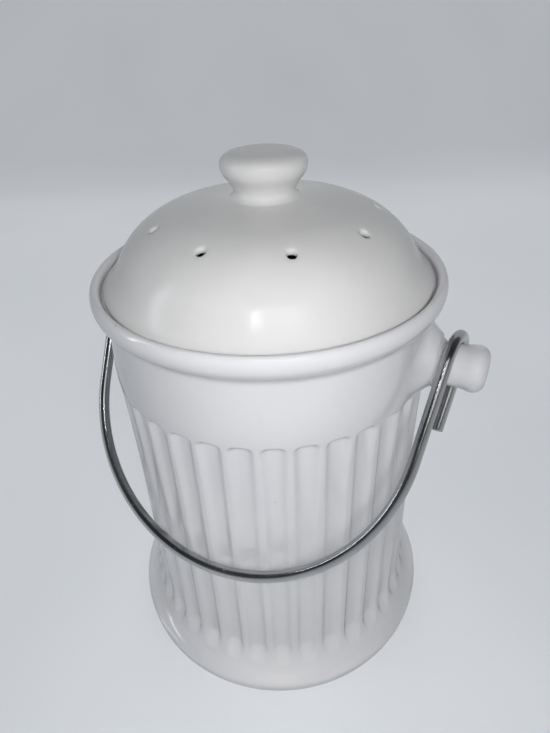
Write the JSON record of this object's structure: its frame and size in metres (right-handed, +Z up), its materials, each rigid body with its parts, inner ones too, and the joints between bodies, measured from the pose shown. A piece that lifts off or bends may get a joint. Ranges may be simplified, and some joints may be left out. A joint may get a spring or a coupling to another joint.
{
  "type": "compost caddy",
  "caption": "Fluted round ceramic compost crock with a flared foot, a loose domed lid with knob and air holes, an odour filter, and a wire bail on side lugs.",
  "frame": {"origin": "centre of the foot, on the surface that the crock stands on", "axes": "+Z up; the axis of the two lugs runs along X; the bail rests against the front of the crock at -Y"},
  "size_m": [0.212, 0.187, 0.2753],
  "materials": {
    "crock_glaze": "gloss",
    "lid_glaze": "gloss",
    "filter_felt": "matt",
    "bail_wire": "polished"
  },
  "bodies": {
    "crock": {"crock": "crock_glaze"},
    "lid": {"lid": "lid_glaze", "lid_knob": "lid_glaze", "carbon_filter": "filter_felt"},
    "bail": {"bail": "bail_wire"}
  },
  "joints": [
    {"name": "bail_swing", "type": "hinge", "parent": "crock", "child": "bail", "pos_m": [0, 0, 0.188], "axis": [-1, 0, 0], "range_deg": [0, 275]},
    {"name": "lid_lift", "type": "slide", "parent": "crock", "child": "lid", "axis": [0, 0, 1], "range_m": [0, 0.1]}
  ]
}
